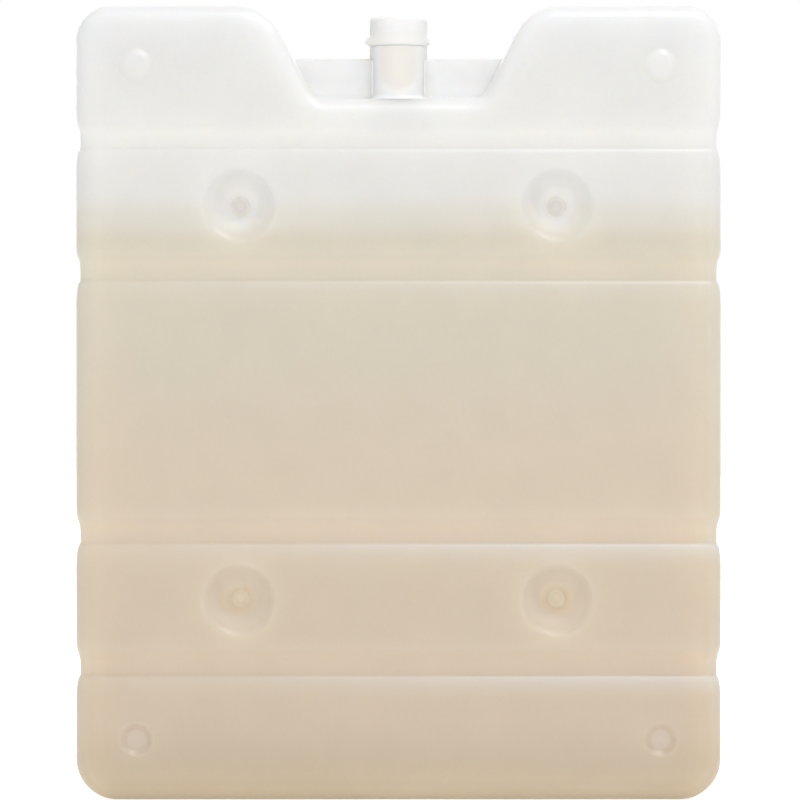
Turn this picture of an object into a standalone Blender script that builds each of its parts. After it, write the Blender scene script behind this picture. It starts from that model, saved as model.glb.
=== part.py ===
"""Hard reusable ice pack: a blow-moulded shell, the plug that closes its filler neck, and the coolant.

The pack stands on its base edge with its front face towards -Y. +Z is up and X runs across its width.
The origin is the middle of the base, in the parting plane of the mould. Sizes are in metres.
"""

from math import atan2, ceil, cos, hypot, pi, radians, sin, tan

import bmesh
import bpy
from mathutils import Matrix, Vector

# Slab
WIDTH = 0.203
HEIGHT = 0.250
THICKNESS = 0.030
WALL = 0.0015
BASE_CORNER_RADIUS = 0.013
TOP_CORNER_RADIUS = 0.011
SIDE_RIM_RADIUS = 0.0045
TOP_RIM_RADIUS = 0.0055
BASE_RIM_RADIUS = 0.005
SEAM_WIDTH = 0.0008
SEAM_HEIGHT = 0.0002

# Notch between the two ears
NOTCH_DEPTH = 0.0292
NOTCH_FLOOR_WIDTH = 0.0528
NOTCH_WALL_ANGLE = radians(63)
NOTCH_TOP_RADIUS = 0.016
NOTCH_FLOOR_RADIUS = 0.006

# Web of squeezed wall that fills the lower part of the notch
WEB_HEIGHT = 0.0132
WEB_THICKNESS = 0.0024

# Grooves that run round the slab, in a pair near each end. Each runs in gently from above,
# and ends in a small step with a long shoulder under it
GROOVE_INSET = 0.0422
GROOVE_SPACING = 0.0415
GROOVE_DEPTH = 0.0013
GROOVE_LEAD = 0.0066
GROOVE_FLOOR_TOP = 0.0018
GROOVE_FLOOR_BASE = 0.0029
GROOVE_STEP_TOP = 0.0038
GROOVE_STEP_DEPTH = 0.0007
GROOVE_SHOULDER = 0.0092
GROOVE_CORNER_RADIUS = 0.0050  # rounder than the side rim, where the grooves turn on to the sides

# Kiss-offs, where dishes in the two faces meet and the walls fuse
KISS_OFF_SPAN = 0.100
KISS_OFF_RADIUS = 0.0112
KISS_OFF_RIM_WIDTH = 0.0022
KISS_OFF_RIM_DEPTH = 0.0018
FUNNEL_RADIUS = 0.0070
FUNNEL_DEPTH = 0.0050
FUSED_RADIUS = 0.0028
FUSED_WALL = 0.0018

# Stacking nubs and the recesses that they sit in on the next pack
STACKING_INSET = 0.0192
NUB_RADIUS = 0.0052
NUB_TOP_RADIUS = 0.0040
NUB_HEIGHT = 0.0011
NUB_CLEARANCE = 0.0005
RECESS_EXTRA_DEPTH = 0.0003

# Filler neck
NECK_DIAMETER = 0.0182
NECK_HEIGHT = 0.0171
NECK_BORE = 0.0126
NECK_FOOT = 0.0010
MOUTH_CHAMFER = 0.0006

# Plug
FIT_GAP = 0.0003
PLUG_WALL = 0.0015
PLUG_COLLAR_HEIGHT = 0.0032
PLUG_COLLAR_REACH = 0.0017
PLUG_HEAD_HEIGHT = 0.0058
PLUG_HEAD_ROUNDING = 0.0012
PLUG_SHANK_LENGTH = 0.0138
PLUG_TIP_RADIUS = 0.0048

# Coolant
FILL_LEVEL = 0.186

# Fineness of the round shapes
CORNER_STEP = radians(15)
RIM_STEPS = 3
GROOVE_CORNER_STEPS = 4  # unlike the rim's, so that no edge of a groove runs along one of the slab
DISH_STEPS = 24
NUB_STEPS = 16
NECK_STEPS = 28

NOTCH_FLOOR_Z = HEIGHT - NOTCH_DEPTH
NOTCH_TOP_WIDTH = NOTCH_FLOOR_WIDTH + 2 * NOTCH_DEPTH / tan(NOTCH_WALL_ANGLE)
NECK_TOP_Z = NOTCH_FLOOR_Z + NECK_HEIGHT
GROOVE_LEVELS = (
    GROOVE_INSET,
    GROOVE_INSET + GROOVE_SPACING,
    HEIGHT - GROOVE_INSET - GROOVE_SPACING,
    HEIGHT - GROOVE_INSET,
)
KISS_OFF_LEVELS = (GROOVE_INSET + GROOVE_SPACING / 2, HEIGHT - GROOVE_INSET - GROOVE_SPACING / 2)
WELD_DISTANCE = 2e-6
OVERRUN = WALL  # how far a cutter runs past the face that it opens
ROOT_Z = NOTCH_FLOOR_Z - WALL - OVERRUN  # the web and the neck start inside the hollow, which trims them
LEAST_RADIUS = WALL / 5  # a rim that is moved in keeps at least this rounding
FRONT, BACK = -1, 1


def clear_scene():
    """Removes every object that the file opened with."""
    for thing in list(bpy.data.objects):
        bpy.data.objects.remove(thing)


def new_collection(name):
    """Adds a collection to the scene."""
    collection = bpy.data.collections.new(name)
    bpy.context.scene.collection.children.link(collection)
    return collection


def plastic(name, colour, roughness, transmission):
    """A Principled material without metal."""
    material = bpy.data.materials.new(name)
    material.use_nodes = True
    shader = material.node_tree.nodes["Principled BSDF"]
    shader.inputs["Base Color"].default_value = (*colour, 1.0)
    shader.inputs["Roughness"].default_value = roughness
    shader.inputs["Metallic"].default_value = 0.0
    shader.inputs["Transmission Weight"].default_value = transmission
    return material


def mesh_object(name, shape, collection):
    """Turns a bmesh into an object with its faces outwards, and frees the bmesh."""
    bmesh.ops.recalc_face_normals(shape, faces=shape.faces)
    mesh = bpy.data.meshes.new(name)
    shape.to_mesh(mesh)
    shape.free()
    mesh.shade_smooth()
    mesh.set_sharp_from_angle(angle=2 * CORNER_STEP)
    thing = bpy.data.objects.new(name, mesh)
    collection.objects.link(thing)
    return thing


def hide_cutter(thing):
    """Marks an object that only shapes others."""
    thing.hide_render = True
    thing.display_type = "WIRE"
    return thing


def combine(target, operation, tool):
    """Cuts the tool out of the target, or joins it on, with a live Boolean."""
    boolean = target.modifiers.new(tool.name, "BOOLEAN")
    boolean.operation = operation
    boolean.solver = "EXACT"
    boolean.object = tool


def weld(target):
    """Merges the doubled points that a cut along shared edges leaves behind."""
    merge = target.modifiers.new("weld", "WELD")
    merge.merge_threshold = WELD_DISTANCE


def loft(shape, rings, closed):
    """Joins rings of points with quads. The ends are capped, or the last ring meets the first."""
    loops = [[shape.verts.new(point) for point in ring] for ring in rings]
    pairs = list(zip(loops, loops[1:]))
    if closed:
        pairs.append((loops[-1], loops[0]))
    else:
        shape.faces.new(loops[0])
        shape.faces.new(loops[-1])
    for one, other in pairs:
        for i in range(len(one)):
            j = (i + 1) % len(one)
            shape.faces.new((one[i], one[j], other[j], other[i]))


def turned(shape, profile, steps, place):
    """Adds a solid of revolution. The profile is (radius, height) from axis to axis, along place's Z."""
    lump = bmesh.new()
    points = [lump.verts.new((radius, 0, height)) for radius, height in profile]
    edges = [lump.edges.new(pair) for pair in zip(points, points[1:])]
    bmesh.ops.spin(
        lump,
        geom=points + edges,
        axis=(0, 0, 1),
        angle=2 * pi,
        steps=steps,
        use_merge=True,
    )
    bmesh.ops.remove_doubles(lump, verts=lump.verts, dist=1e-7)
    bmesh.ops.transform(lump, matrix=place, verts=lump.verts)
    mesh = bpy.data.meshes.new("lump")
    lump.to_mesh(mesh)
    lump.free()
    shape.from_mesh(mesh)
    bpy.data.meshes.remove(mesh)


def thickened(surface, distance):
    """Moves a stepped surface of (half width, depth) points into the material by an even distance.

    The surface starts level at the outer face and ends level at its deepest point.
    """
    normals = [Vector((0, 1))]
    for (near, high), (far, low) in zip(surface, surface[1:]):
        normals.append(Vector((low - high, near - far)) / hypot(low - high, near - far))
    normals.append(Vector((0, 1)))
    moved = []
    for point, before, after in zip(surface, normals, normals[1:]):
        mitre = (before + after) / (1 + before.dot(after))
        moved.append(Vector(point) + distance * mitre)
    return moved


def raised(surface, height):
    """Carries the first slope of a stepped surface on past the outer face by a height."""
    first, second = surface[0], surface[1]
    slope = (first.x - second.x) / (second.y - first.y)
    return [Vector((first.x + (first.y + height) * slope, -height)), *surface[1:]]


def rounded_corner(before, corner, after, radius):
    """Points round one corner of an anticlockwise outline, as (point, outward normal, way round)."""
    come = (corner - before).normalized()
    go = (after - corner).normalized()
    turn = atan2(come.x * go.y - come.y * go.x, come.dot(go))
    side = 1 if turn > 0 else -1
    start = corner - come * radius * tan(abs(turn) / 2)
    first_normal = Vector((come.y, -come.x))
    centre = start - side * radius * first_normal
    steps = max(2, ceil(abs(turn) / CORNER_STEP))
    points = []
    for i in range(steps + 1):
        normal = Matrix.Rotation(turn * i / steps, 2) @ first_normal
        points.append((centre + side * radius * normal, normal, i / steps))
    return points


def pack_outline():
    """The front outline, as (point, outward normal, rim radius, seam height)."""
    half, floor, top = WIDTH / 2, NOTCH_FLOOR_WIDTH / 2, NOTCH_TOP_WIDTH / 2
    # Each corner has its place, its radius, and the rim radius and seam height of the edge that leaves it
    right = [
        (half, 0, BASE_CORNER_RADIUS, SIDE_RIM_RADIUS, SEAM_HEIGHT),
        (half, HEIGHT, TOP_CORNER_RADIUS, TOP_RIM_RADIUS, SEAM_HEIGHT),
        (top, HEIGHT, NOTCH_TOP_RADIUS, TOP_RIM_RADIUS, SEAM_HEIGHT),
        (floor, NOTCH_FLOOR_Z, NOTCH_FLOOR_RADIUS, TOP_RIM_RADIUS, SEAM_HEIGHT),
    ]
    left = [
        (-floor, NOTCH_FLOOR_Z, NOTCH_FLOOR_RADIUS, TOP_RIM_RADIUS, SEAM_HEIGHT),
        (-top, HEIGHT, NOTCH_TOP_RADIUS, TOP_RIM_RADIUS, SEAM_HEIGHT),
        (-half, HEIGHT, TOP_CORNER_RADIUS, SIDE_RIM_RADIUS, SEAM_HEIGHT),
        (-half, 0, BASE_CORNER_RADIUS, BASE_RIM_RADIUS, 0),
    ]
    corners = right + left
    outline = []
    for i, (x, z, radius, rim, seam) in enumerate(corners):
        before, after = corners[i - 1], corners[(i + 1) % len(corners)]
        arc = rounded_corner(Vector(before[:2]), Vector((x, z)), Vector(after[:2]), radius)
        for point, normal, way in arc:
            rim_here = before[3] + (rim - before[3]) * way
            seam_here = before[4] + (seam - before[4]) * way
            outline.append((point, normal, rim_here, seam_here))
    return outline


def slab(name, inset, collection):
    """The plain slab, moved in by inset all over. At no inset it carries the seam of the parting line."""
    outline = pack_outline()

    def rim_ring(side, angle):
        """A ring on the rounded rim, from the side of the slab at 0 to its face at a right angle."""
        ring = []
        for point, normal, rim, _ in outline:
            radius = max(rim - inset, LEAST_RADIUS)
            flat = point - (inset + radius * (1 - cos(angle))) * normal
            ring.append((flat.x, side * (THICKNESS / 2 - inset - radius * (1 - sin(angle))), flat.y))
        return ring

    def seam_ring(y, share):
        """A ring by the parting plane, standing out by a share of the seam's height."""
        ring = []
        for point, normal, _, seam in outline:
            flat = point + share * seam * normal
            ring.append((flat.x, y, flat.y))
        return ring

    angles = [i / RIM_STEPS * pi / 2 for i in range(RIM_STEPS + 1)]
    rings = [rim_ring(FRONT, angle) for angle in reversed(angles)]
    if not inset:
        for y, share in ((-1, 0), (-0.5, 1), (0.5, 1), (1, 0)):
            rings.append(seam_ring(y * SEAM_WIDTH / 2, share))
    rings += [rim_ring(BACK, angle) for angle in angles]
    shape = bmesh.new()
    loft(shape, rings, closed=False)
    return mesh_object(name, shape, collection)


def groove_cutter(name, inset, collection):
    """Four bands that cut the grooves all round the slab, for walls moved in by inset."""
    lead = [(GROOVE_LEAD, 0), (GROOVE_FLOOR_TOP, GROOVE_DEPTH)]
    shoulder = [
        (GROOVE_SHOULDER, 0),
        (GROOVE_STEP_TOP, GROOVE_STEP_DEPTH),
        (GROOVE_FLOOR_BASE, GROOVE_DEPTH),
    ]
    rise = OVERRUN / 3 - inset  # over the outer face, because the gentle slopes run out far
    above = raised(thickened(lead, inset), rise)
    below = raised(thickened(shoulder, inset), rise)
    section = [(-height, depth) for height, depth in below]
    section += [(height, depth) for height, depth in reversed(above)]

    def level_ring(z, depth):
        """The slab's level section at a depth under its faces, a little rounder at its corners."""
        radius = max(GROOVE_CORNER_RADIUS - depth, LEAST_RADIUS)
        x, y = WIDTH / 2 - depth - radius, THICKNESS / 2 - depth - radius
        ring = []
        for quarter, (side_x, side_y) in enumerate(((1, 1), (-1, 1), (-1, -1), (1, -1))):
            for i in range(GROOVE_CORNER_STEPS + 1):
                angle = (quarter + i / GROOVE_CORNER_STEPS) * pi / 2
                ring.append((side_x * x + radius * cos(angle), side_y * y + radius * sin(angle), z))
        return ring

    shape = bmesh.new()
    for level in GROOVE_LEVELS:
        loft(shape, [level_ring(level + height, depth) for height, depth in section], closed=True)
    return hide_cutter(mesh_object(name, shape, collection))


def face_place(x, z, side):
    """A frame on the front or back face, with its Z axis pointing into the pack."""
    turn = Matrix.Rotation(side * pi / 2, 4, "X")
    return Matrix.Translation((x, side * THICKNESS / 2, z)) @ turn


def kiss_off_cutter(name, inset, collection):
    """Dishes at the four kiss-offs. Where they are deep enough to meet, each pair is one shape."""
    surface = [
        (KISS_OFF_RADIUS, 0),
        (KISS_OFF_RADIUS - KISS_OFF_RIM_WIDTH, KISS_OFF_RIM_DEPTH),
        (FUNNEL_RADIUS, FUNNEL_DEPTH),
        (FUSED_RADIUS, (THICKNESS - FUSED_WALL) / 2),
    ]
    *slopes, deepest = raised(thickened(surface, inset), OVERRUN)
    meet = deepest.y > THICKNESS / 2
    if meet:  # the last slope ends in the middle of the pack
        steep = slopes[-1]
        share = (THICKNESS / 2 - steep.y) / (deepest.y - steep.y)
        deepest = steep.lerp(deepest, share)
    half = [(0, -OVERRUN), *slopes, deepest]
    shape = bmesh.new()
    for x in (-KISS_OFF_SPAN / 2, KISS_OFF_SPAN / 2):
        for z in KISS_OFF_LEVELS:
            if meet:
                far_half = [(radius, THICKNESS - depth) for radius, depth in reversed(half[:-1])]
                turned(shape, half + far_half, DISH_STEPS, face_place(x, z, FRONT))
            else:
                for side in (FRONT, BACK):
                    turned(shape, [*half, (0, deepest.y)], DISH_STEPS, face_place(x, z, side))
    return hide_cutter(mesh_object(name, shape, collection))


def stacking_places(nub):
    """Frames of the stacking nubs, high on the front and low on the back, or of the recesses."""
    reach = WIDTH / 2 - STACKING_INSET
    low, high = STACKING_INSET, HEIGHT - STACKING_INSET
    levels = ((FRONT, high), (BACK, low)) if nub else ((FRONT, low), (BACK, high))
    return [face_place(x, z, side) for side, z in levels for x in (-reach, reach)]


def recess_cutter(name, inset, collection):
    """The four stacking recesses, each with room for a nub."""
    radius, top_radius = NUB_RADIUS + NUB_CLEARANCE, NUB_TOP_RADIUS + NUB_CLEARANCE
    surface = [(radius, 0), (top_radius, NUB_HEIGHT + RECESS_EXTRA_DEPTH)]
    outer, floor = raised(thickened(surface, inset), OVERRUN)
    shape = bmesh.new()
    for place in stacking_places(nub=False):
        turned(shape, [(0, outer.y), outer, floor, (0, floor.y)], NUB_STEPS, place)
    return hide_cutter(mesh_object(name, shape, collection))


def stacking_nubs(name, collection):
    """The four stacking nubs, whose sloping sides run on into the wall to root them."""
    root = WALL / 2
    foot_radius = NUB_RADIUS + (NUB_RADIUS - NUB_TOP_RADIUS) * root / NUB_HEIGHT
    profile = [(0, root), (foot_radius, root), (NUB_TOP_RADIUS, -NUB_HEIGHT), (0, -NUB_HEIGHT)]
    shape = bmesh.new()
    for place in stacking_places(nub=True):
        turned(shape, profile, NUB_STEPS, place)
    return hide_cutter(mesh_object(name, shape, collection))


def moulded_form(name, inset, collection, cutters):
    """The slab with its grooves, kiss-offs and recesses, all moved in by inset."""
    form = slab(name, inset, collection)
    combine(form, "DIFFERENCE", groove_cutter(f"{name}_grooves", inset, cutters))
    combine(form, "DIFFERENCE", kiss_off_cutter(f"{name}_kiss_offs", inset, cutters))
    combine(form, "DIFFERENCE", recess_cutter(f"{name}_recesses", inset, cutters))
    return form


def web_plate(name, collection):
    """The flat web across the notch. Its ends and foot are rooted in the wall of the slab."""
    top_z = NOTCH_FLOOR_Z + WEB_HEIGHT
    reach = NOTCH_FLOOR_WIDTH / 2 + WEB_HEIGHT / tan(NOTCH_WALL_ANGLE) + WALL
    foot_reach = NOTCH_FLOOR_WIDTH / 2
    corners = ((-foot_reach, ROOT_Z), (foot_reach, ROOT_Z), (reach, top_z), (-reach, top_z))
    rings = [[(x, side * WEB_THICKNESS / 2, z) for x, z in corners] for side in (FRONT, BACK)]
    shape = bmesh.new()
    loft(shape, rings, closed=False)
    return hide_cutter(mesh_object(name, shape, collection))


def neck_tube(name, collection):
    """The outside of the filler neck, with a small foot where it leaves the notch floor."""
    radius = NECK_DIAMETER / 2
    profile = [
        (0, ROOT_Z),
        (radius + 1.5 * NECK_FOOT, ROOT_Z),
        (radius + 1.5 * NECK_FOOT, NOTCH_FLOOR_Z - NECK_FOOT / 3),
        (radius + NECK_FOOT / 3, NOTCH_FLOOR_Z + NECK_FOOT / 2),
        (radius, NOTCH_FLOOR_Z + 1.5 * NECK_FOOT),
        (radius, NECK_TOP_Z),
        (0, NECK_TOP_Z),
    ]
    shape = bmesh.new()
    turned(shape, profile, NECK_STEPS, Matrix.Identity(4))
    return hide_cutter(mesh_object(name, shape, collection))


def neck_bore(name, collection):
    """The bore from the neck's mouth into the hollow of the shell."""
    radius = NECK_BORE / 2
    profile = [
        (0, ROOT_Z - OVERRUN),
        (radius, ROOT_Z - OVERRUN),
        (radius, NECK_TOP_Z - MOUTH_CHAMFER),
        (radius + MOUTH_CHAMFER + OVERRUN, NECK_TOP_Z + OVERRUN),
        (0, NECK_TOP_Z + OVERRUN),
    ]
    shape = bmesh.new()
    turned(shape, profile, NECK_STEPS, Matrix.Identity(4))
    return hide_cutter(mesh_object(name, shape, collection))


def build_shell(parts, cutters, material):
    """The blow-moulded shell, an even wall round one hollow that opens at the neck."""
    shell = moulded_form("shell", 0, parts, cutters)
    cavity = hide_cutter(moulded_form("shell_cavity", WALL, cutters, cutters))
    combine(shell, "UNION", stacking_nubs("stacking_nubs", cutters))
    combine(shell, "UNION", web_plate("web_plate", cutters))
    combine(shell, "UNION", neck_tube("neck_tube", cutters))
    combine(shell, "DIFFERENCE", cavity)
    combine(shell, "DIFFERENCE", neck_bore("neck_bore", cutters))
    weld(shell)
    shell.data.materials.append(material)


def build_coolant(parts, cutters, material):
    """The coolant, which fills the shell's hollow up to a level surface."""
    coolant = moulded_form("coolant", WALL + FIT_GAP, parts, cutters)
    shape = bmesh.new()
    bmesh.ops.create_cube(shape, size=1)
    size = Vector((WIDTH, THICKNESS, HEIGHT))
    place = Matrix.Translation((0, 0, FILL_LEVEL + HEIGHT / 2)) @ Matrix.Diagonal((*size, 1))
    bmesh.ops.transform(shape, matrix=place, verts=shape.verts)
    headspace = hide_cutter(mesh_object("headspace", shape, cutters))
    combine(coolant, "DIFFERENCE", headspace)
    coolant.data.materials.append(material)


def plug_profile():
    """Half section of the hollow plug, up its inside and down its outside, with heights from the neck's top."""
    shank, head = NECK_BORE / 2 - FIT_GAP, NECK_DIAMETER / 2
    tip = -PLUG_SHANK_LENGTH
    collar_top = FIT_GAP + PLUG_COLLAR_HEIGHT
    top = collar_top + PLUG_HEAD_HEIGHT
    inner_tip = PLUG_TIP_RADIUS - PLUG_WALL
    quarter = [i / RIM_STEPS * pi / 2 for i in range(RIM_STEPS + 1)]
    centre = tip + PLUG_TIP_RADIUS
    profile = [(inner_tip * sin(angle), centre - inner_tip * cos(angle)) for angle in quarter]
    profile.append((shank - PLUG_WALL, FIT_GAP))
    profile.append((shank - PLUG_WALL, top))
    for angle in quarter:
        radius = head - PLUG_HEAD_ROUNDING * (1 - sin(angle))
        profile.append((radius, top - PLUG_HEAD_ROUNDING * (1 - cos(angle))))
    profile.append((head, collar_top))
    for reach, height in ((0.45, 0.8), (0.95, 0.45), (1, 0.25), (0.6, 0)):
        profile.append((head + reach * PLUG_COLLAR_REACH, FIT_GAP + height * PLUG_COLLAR_HEIGHT))
    profile.append((shank, FIT_GAP))
    for angle in reversed(quarter):
        profile.append((PLUG_TIP_RADIUS * sin(angle), centre - PLUG_TIP_RADIUS * cos(angle)))
    return profile


def build_plug(parts, material):
    """The plug, turned from its half section and seated in the mouth of the neck."""
    profile = plug_profile()
    points = [(radius, 0, height) for radius, height in profile]
    edges = [(i, i + 1) for i in range(len(points) - 1)]
    mesh = bpy.data.meshes.new("filler_plug")
    mesh.from_pydata(points, edges, [])
    plug = bpy.data.objects.new("filler_plug", mesh)
    parts.objects.link(plug)
    plug.location = (0, 0, NECK_TOP_Z)
    screw = plug.modifiers.new("turn", "SCREW")
    screw.axis = "Z"
    screw.angle = 2 * pi
    screw.steps = NECK_STEPS
    screw.render_steps = NECK_STEPS
    screw.use_merge_vertices = True
    screw.merge_threshold = 1e-6
    screw.use_smooth_shade = True
    plug.data.materials.append(material)


def main():
    """Builds the pack."""
    clear_scene()
    parts = new_collection("reusable_ice_pack")
    cutters = new_collection("cutters")
    wall_plastic = plastic("blown_hdpe", (0.84, 0.83, 0.79), 0.38, 0.25)
    plug_plastic = plastic("moulded_hdpe", (0.86, 0.84, 0.78), 0.35, 0.15)
    filling = plastic("cream_coolant", (0.62, 0.52, 0.40), 0.25, 0.0)
    build_shell(parts, cutters, wall_plastic)
    build_plug(parts, plug_plastic)
    build_coolant(parts, cutters, filling)


main()
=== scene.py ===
"""A hard reusable ice pack of blow-moulded plastic, standing on its base edge in plain studio light.

Sizes are in metres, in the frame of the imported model: +Z up, X across the pack, the front towards -Y.
"""

from functools import partial
from math import atan2, ceil, cos, pi, radians, sin, tan

import bmesh
import bpy
import numpy as np
from mathutils import Matrix, Vector
from mathutils.geometry import delaunay_2d_cdt


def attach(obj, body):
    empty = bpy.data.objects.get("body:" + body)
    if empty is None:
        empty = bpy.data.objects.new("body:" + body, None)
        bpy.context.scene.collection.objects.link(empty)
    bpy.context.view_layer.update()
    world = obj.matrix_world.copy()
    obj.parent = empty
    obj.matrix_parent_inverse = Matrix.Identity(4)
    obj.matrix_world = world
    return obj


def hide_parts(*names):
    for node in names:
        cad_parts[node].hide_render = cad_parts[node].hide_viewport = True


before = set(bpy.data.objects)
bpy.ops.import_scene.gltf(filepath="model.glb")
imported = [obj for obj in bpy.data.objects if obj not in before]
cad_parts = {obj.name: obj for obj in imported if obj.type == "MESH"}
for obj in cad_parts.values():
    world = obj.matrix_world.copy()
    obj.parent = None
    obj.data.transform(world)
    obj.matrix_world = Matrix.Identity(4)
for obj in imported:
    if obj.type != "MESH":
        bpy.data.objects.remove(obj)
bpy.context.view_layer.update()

# Slab
WIDTH = 0.203
HEIGHT = 0.250
THICKNESS = 0.030
BASE_CORNER_RADIUS = 0.013
TOP_CORNER_RADIUS = 0.011
SIDE_RIM_RADIUS = 0.0045
TOP_RIM_RADIUS = 0.0055
BASE_RIM_RADIUS = 0.005
SEAM_WIDTH = 0.0008
SEAM_HEIGHT = 0.0002

# Notch between the ears, and the web in its lower part
NOTCH_DEPTH = 0.0292
NOTCH_FLOOR_WIDTH = 0.0528
NOTCH_WALL_ANGLE = radians(63)
NOTCH_TOP_RADIUS = 0.016
NOTCH_FLOOR_RADIUS = 0.006
WEB_HEIGHT = 0.0132
WEB_THICKNESS = 0.0024
WEB_FILLET = 0.0024
WEB_NECK_FILLET = 0.0034
WEB_NECK_OVERLAP = 0.0006  # how far inside the neck the fillet beside it starts
WEB_ROUNDING = WEB_THICKNESS * 0.42  # of its upper edge
WEB_SINK = 0.0022  # how far it runs on into the slab and the ears
WEB_HIDDEN = WEB_SINK * 1.05  # how much of each end counts as being in an ear
NOTCH_FLOOR_Z = HEIGHT - NOTCH_DEPTH
NOTCH_TOP_WIDTH = NOTCH_FLOOR_WIDTH + 2 * NOTCH_DEPTH / tan(NOTCH_WALL_ANGLE)

# Features of the faces
GROOVE_INSET = 0.0422
GROOVE_SPACING = 0.0415
GROOVE_DEPTH = 0.0013
GROOVE_REACH = 0.010  # the groove's profile runs this far above and below its level
KISS_OFF_SPAN = 0.100
KISS_OFF_REACH = 0.0125
KISS_OFF_DEPTH = 0.0141
STACKING_INSET = 0.0192
NUB_RADIUS = 0.0056
NUB_TOP_RADIUS = 0.0030
NUB_HEIGHT = 0.0011
RECESS_EXTRA_DEPTH = 0.0003
PANEL_WARP = 0.00012
WARP_SPACING = 0.050

# Neck and plug
NECK_DIAMETER = 0.0182
NECK_HEIGHT = 0.0171
NECK_ROOT = 0.003
NECK_FOOT = 0.0018
NECK_FOOT_DEPTH = 0.0006
NECK_LIP = 0.0001
NECK_TOP_Z = NOTCH_FLOOR_Z + NECK_HEIGHT
SHANK_RADIUS = 0.0055
SHANK_TIP_Z = 0.2236
WELD_OVERLAP = 0.0002
COLLAR_HEIGHT = 0.0035
HEAD_HEIGHT = 0.0058
HEAD_ROUNDING = 0.0012
HEAD_DISH = 0.0005
HEAD_DISH_INSET = 0.0004
COLLAR_REACH = 0.0017

# Fineness
TOUCH = 1e-6  # nearer than this, two places are one
CORNER_STEP = radians(4)
RIM_STEPS = 8
EDGE_STEP = 0.004
END_MARGIN = 0.01  # share of an edge, next to its ends, that gets no points
FIELD_STEP = 0.0055
ROW_STEP = 0.0007  # between the rows of points across a groove
FINE_ROW_STEP = 0.00028  # between those at its step, at these heights over its level
FINE_ROWS_FROM, FINE_ROWS_TO = -0.0046, -0.0016
FACE_RINGS = (0.0012, 0.0004)  # a face has rings of points this far inside its rim
KISS_OFF_RING_POINTS = 84
STACKING_RING_POINTS = 60
RING_CLEARANCE = 0.0008  # outside the last ring, before the rows go on
BORDER_CLEARANCE = 0.0015  # between a row's end and the rim
WEB_COLUMNS, WEB_ROWS = 170, 38
WEB_ROW_CROWDING = 1.6  # how much closer the rows of the web come towards its upper edge
TURN_STEPS = 96

# Rings of points round a kiss-off and a stacking mark: (from, to, how far apart)
KISS_OFF_RINGS = (
    (0.0006, 0.0016, 0.0005),
    (0.0016, 0.0046, 0.00022),
    (0.0046, 0.0085, 0.00045),
    (0.0085, 0.0128, 0.0003),
)
STACKING_RINGS = (
    (0.0012, 0.0028, 0.0010),
    (0.0028, 0.0064, 0.0003),
)

FRONT, BACK = -1, 1
LOW_PAIR_Z = GROOVE_INSET + GROOVE_SPACING / 2
HIGH_PAIR_Z = HEIGHT - LOW_PAIR_Z

# A groove's section from its lower to its upper side: (height over its level, share of its depth).
# It runs in gently from above and ends in a small step with a long, soft shoulder under it.
GROOVE_PROFILE = (
    (-0.0098, 0.0),
    (-0.0075, 0.10),
    (-0.0050, 0.33),
    (-0.0038, 0.58),
    (-0.0030, 0.92),
    (-0.0022, 1.0),
    (0.0012, 0.95),
    (0.0038, 0.55),
    (0.0062, 0.08),
    (0.0078, 0.0),
)
# A kiss-off's section from its middle outwards: (radius, share of its depth).
KISS_OFF_PROFILE = (
    (0.0, 1.0),
    (0.0024, 1.0),
    (0.0034, 0.91),
    (0.0050, 0.64),
    (0.0066, 0.40),
    (0.0082, 0.22),
    (0.0098, 0.10),
    (0.0112, 0.012),
    (0.0122, 0.0),
)
# The collar's section, from its foot up: (share of its reach, share of its height).
COLLAR_PROFILE = (
    (0.0, 0.0),
    (0.40, 0.08),
    (0.80, 0.22),
    (1.0, 0.38),
    (0.96, 0.52),
    (0.72, 0.68),
    (0.36, 0.84),
    (0.08, 0.96),
)
# How far the collar's flash stands out round the neck, as shares of its reach.
FLASH_FRONT, FLASH_LEFT, FLASH_RIGHT = 0.02, 1.0, 0.5
FLASH_LEAST = 0.01
FLASH_RIPPLE = 0.3
RIPPLES = ((0.05, 5, 0.7), (0.035, 11, 2.1), (0.025, 17, 0.0))  # (size, number round the neck, start)


def linear(code):
    """An sRGB hex colour as linear RGBA."""
    shares = [int(code[i : i + 2], 16) / 255 for i in (1, 3, 5)]
    return (*[s / 12.92 if s <= 0.04045 else ((s + 0.055) / 1.055) ** 2.4 for s in shares], 1.0)


def add(tree, kind, inputs=None, **settings):
    """Adds a node to a tree, with its settings, and with sockets linked or values set on its inputs."""
    node = tree.nodes.new(kind)
    for name, value in settings.items():
        setattr(node, name, value)
    for name, value in (inputs or {}).items():
        if isinstance(value, bpy.types.NodeSocket):
            tree.links.new(value, node.inputs[name])
        else:
            node.inputs[name].default_value = value
    return node


def math_step(tree, operation, *values):
    """One step of arithmetic in a node tree."""
    return add(tree, "ShaderNodeMath", dict(enumerate(values)), operation=operation).outputs[0]


def distance(tree, across, along):
    """How far a place is from a middle, from how far it is across and along."""
    spread = add(tree, "ShaderNodeCombineXYZ", {0: across, 1: along}).outputs[0]
    return add(tree, "ShaderNodeVectorMath", {0: spread}, operation="LENGTH").outputs["Value"]


def soft_step(tree, value, start, stop):
    """0 at the start, 1 at the stop and smooth between them."""
    sizes = {"Value": value, "From Min": start, "From Max": stop}
    return add(tree, "ShaderNodeMapRange", sizes, interpolation_type="SMOOTHSTEP").outputs[0]


def set_curve(node, points):
    """Gives a Float Curve node its points, joined by smooth runs."""
    curve = node.mapping.curves[0]
    while len(curve.points) > 2:
        curve.points.remove(curve.points[1])
    for i, (x, y) in enumerate(points):
        point = curve.points[i] if i < 2 else curve.points.new(x, y)
        point.location = (x, y)
        point.handle_type = "AUTO_CLAMPED"
    node.mapping.update()


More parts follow.
